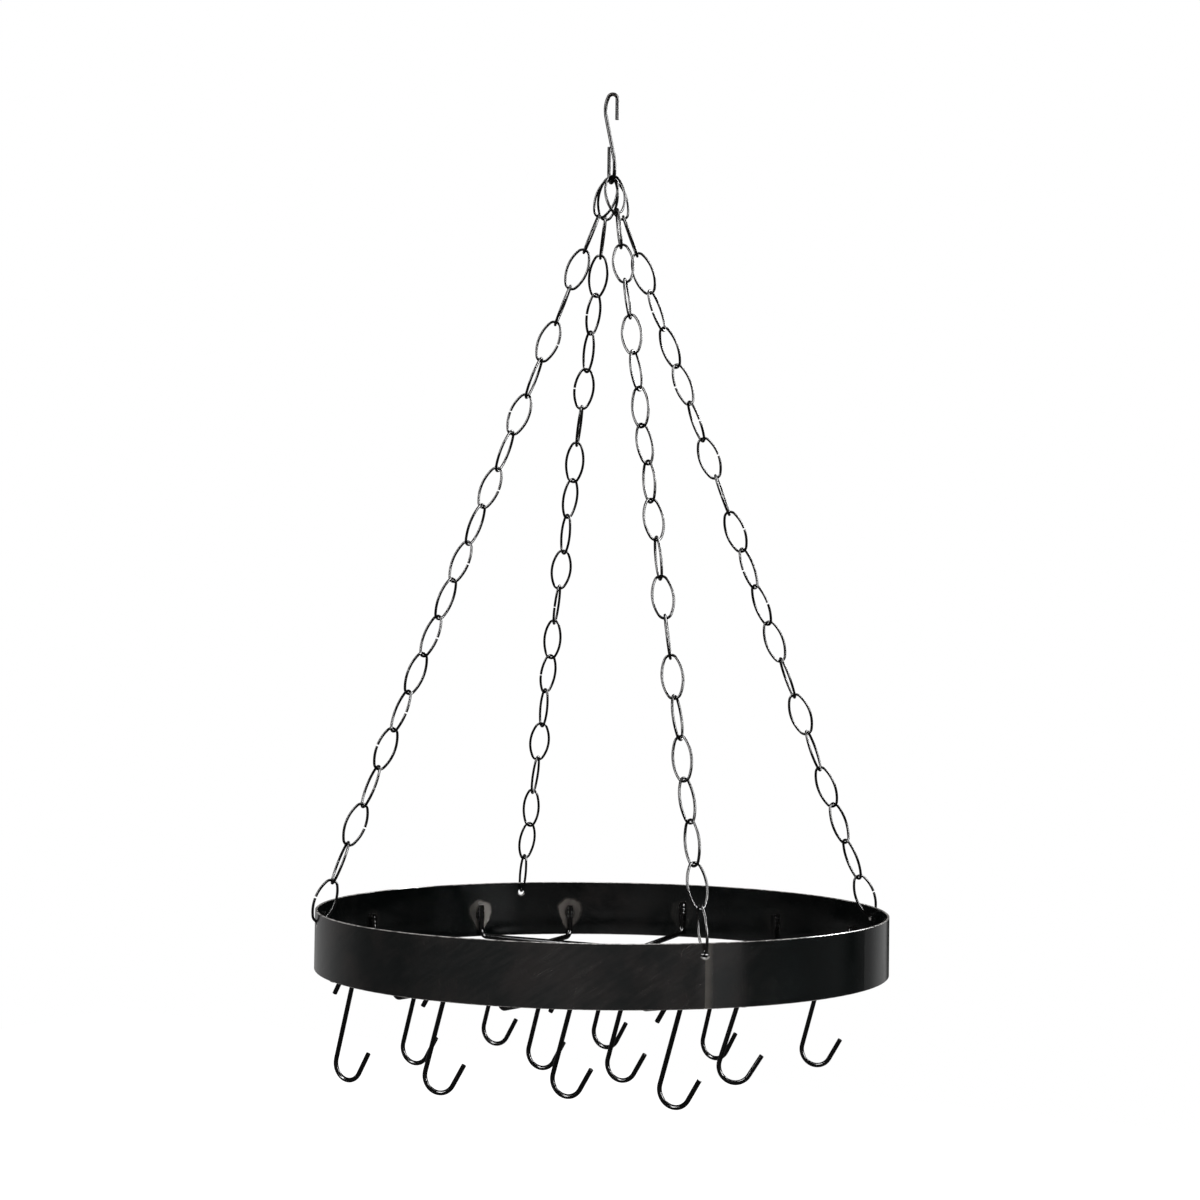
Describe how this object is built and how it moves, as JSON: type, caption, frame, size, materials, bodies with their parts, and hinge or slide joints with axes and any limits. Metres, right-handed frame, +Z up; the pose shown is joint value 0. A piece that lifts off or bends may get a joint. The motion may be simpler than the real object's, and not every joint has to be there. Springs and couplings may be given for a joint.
{
  "type": "hanging pot rack",
  "caption": "Round pot rack: a hoop of flat strip with a grid of rods welded inside it, hung by wire chains from a bent-wire hanger, with loose wire hooks on the rods.",
  "frame": {"origin": "where a ceiling eye bears, on the inside of the crest of the hanger's top curl", "axes": "+Z up, +Y along the long rods, +X along the cross rods and towards the side that the pot hooks open to"},
  "size_m": [0.5, 0.5, 0.8646],
  "materials": {
    "hoop": "Gloss black enamel over the rolled strip, with faint brushed marks showing through",
    "rods": "Gloss black enamel over round rod and its end welds",
    "pot_hooks": "Gloss black enamel over bent wire",
    "chains": "Gloss black enamel over bent wire links",
    "hanger": "Gloss black enamel over bent wire"
  },
  "bodies": {
    "hanger": {"hanger": "hanger"},
    "rack": {"hoop": "hoop", "rod_1": "rods", "rod_2": "rods", "rod_3": "rods", "rod_4": "rods", "cross_rod_1": "rods", "cross_rod_2": "rods", "cross_rod_3": "rods", "chain_front_right_top_link": "chains", "chain_back_right_top_link": "chains", "chain_back_left_top_link": "chains", "chain_front_left_top_link": "chains", "chain_front_right_links_1": "chains", "chain_front_right_links_2": "chains", "chain_front_right_links_3": "chains", "chain_front_right_links_4": "chains", "chain_front_right_links_5": "chains", "chain_front_right_links_6": "chains", "chain_back_right_links_1": "chains", "chain_back_right_links_2": "chains", "chain_back_right_links_3": "chains", "chain_back_right_links_4": "chains", "chain_back_right_links_5": "chains", "chain_back_right_links_6": "chains", "chain_back_left_links_1": "chains", "chain_back_left_links_2": "chains", "chain_back_left_links_3": "chains", "chain_back_left_links_4": "chains", "chain_back_left_links_5": "chains", "chain_back_left_links_6": "chains", "chain_front_left_links_1": "chains", "chain_front_left_links_2": "chains", "chain_front_left_links_3": "chains", "chain_front_left_links_4": "chains", "chain_front_left_links_5": "chains", "chain_front_left_links_6": "chains", "chain_front_right_hoop_link": "chains", "chain_back_right_hoop_link": "chains", "chain_back_left_hoop_link": "chains", "chain_front_left_hoop_link": "chains"},
    "pot_hook_1": {"pot_hook_1": "pot_hooks"},
    "pot_hook_2": {"pot_hook_2": "pot_hooks"},
    "pot_hook_3": {"pot_hook_3": "pot_hooks"},
    "pot_hook_4": {"pot_hook_4": "pot_hooks"},
    "pot_hook_5": {"pot_hook_5": "pot_hooks"},
    "pot_hook_6": {"pot_hook_6": "pot_hooks"},
    "pot_hook_7": {"pot_hook_7": "pot_hooks"},
    "pot_hook_8": {"pot_hook_8": "pot_hooks"},
    "pot_hook_9": {"pot_hook_9": "pot_hooks"},
    "pot_hook_10": {"pot_hook_10": "pot_hooks"},
    "pot_hook_11": {"pot_hook_11": "pot_hooks"},
    "pot_hook_12": {"pot_hook_12": "pot_hooks"}
  },
  "joints": [
    {"name": "rack_swing", "type": "hinge", "parent": "hanger", "child": "rack", "pos_m": [0, 0, -0.0674], "axis": [0.7071, 0.7071, 0], "range_deg": [-25, 25]},
    {"name": "pot_hook_1_swing", "type": "hinge", "parent": "rack", "child": "pot_hook_1", "pos_m": [-0.15, -0.1685, -0.77161], "axis": [0, 0.9988, -0.0482], "range_deg": [-35, 35]},
    {"name": "pot_hook_2_swing", "type": "hinge", "parent": "rack", "child": "pot_hook_2", "pos_m": [-0.15, -0.07, -0.77337], "axis": [0, 1, 0], "range_deg": [-35, 35]},
    {"name": "pot_hook_3_swing", "type": "hinge", "parent": "rack", "child": "pot_hook_3", "pos_m": [-0.15, 0.06, -0.77337], "axis": [0, 1, 0], "range_deg": [-35, 35]},
    {"name": "pot_hook_4_swing", "type": "hinge", "parent": "rack", "child": "pot_hook_4", "pos_m": [-0.05, -0.1785, -0.77234], "axis": [0, 0.9998, -0.0222], "range_deg": [-35, 35]},
    {"name": "pot_hook_5_swing", "type": "hinge", "parent": "rack", "child": "pot_hook_5", "pos_m": [-0.05, -0.02, -0.77337], "axis": [0, 1, 0], "range_deg": [-35, 35]},
    {"name": "pot_hook_6_swing", "type": "hinge", "parent": "rack", "child": "pot_hook_6", "pos_m": [-0.05, 0.092, -0.77337], "axis": [0, 1, 0], "range_deg": [-35, 35]},
    {"name": "pot_hook_7_swing", "type": "hinge", "parent": "rack", "child": "pot_hook_7", "pos_m": [0.05, -0.142, -0.77315], "axis": [0, 0.9998, -0.0222], "range_deg": [-35, 35]},
    {"name": "pot_hook_8_swing", "type": "hinge", "parent": "rack", "child": "pot_hook_8", "pos_m": [0.05, -0.0535, -0.77337], "axis": [0, 1, 0], "range_deg": [-35, 35]},
    {"name": "pot_hook_9_swing", "type": "hinge", "parent": "rack", "child": "pot_hook_9", "pos_m": [0.05, 0.1175, -0.77337], "axis": [0, 1, 0], "range_deg": [-35, 35]},
    {"name": "pot_hook_10_swing", "type": "hinge", "parent": "rack", "child": "pot_hook_10", "pos_m": [0.15, -0.1435, -0.77235], "axis": [0, 0.9961, -0.0881], "range_deg": [-35, 35]},
    {"name": "pot_hook_11_swing", "type": "hinge", "parent": "rack", "child": "pot_hook_11", "pos_m": [0.15, -0.0395, -0.77337], "axis": [0, 1, 0], "range_deg": [-35, 35]},
    {"name": "pot_hook_12_swing", "type": "hinge", "parent": "rack", "child": "pot_hook_12", "pos_m": [0.15, 0.119, -0.77337], "axis": [0, 1, 0], "range_deg": [-35, 35]}
  ]
}
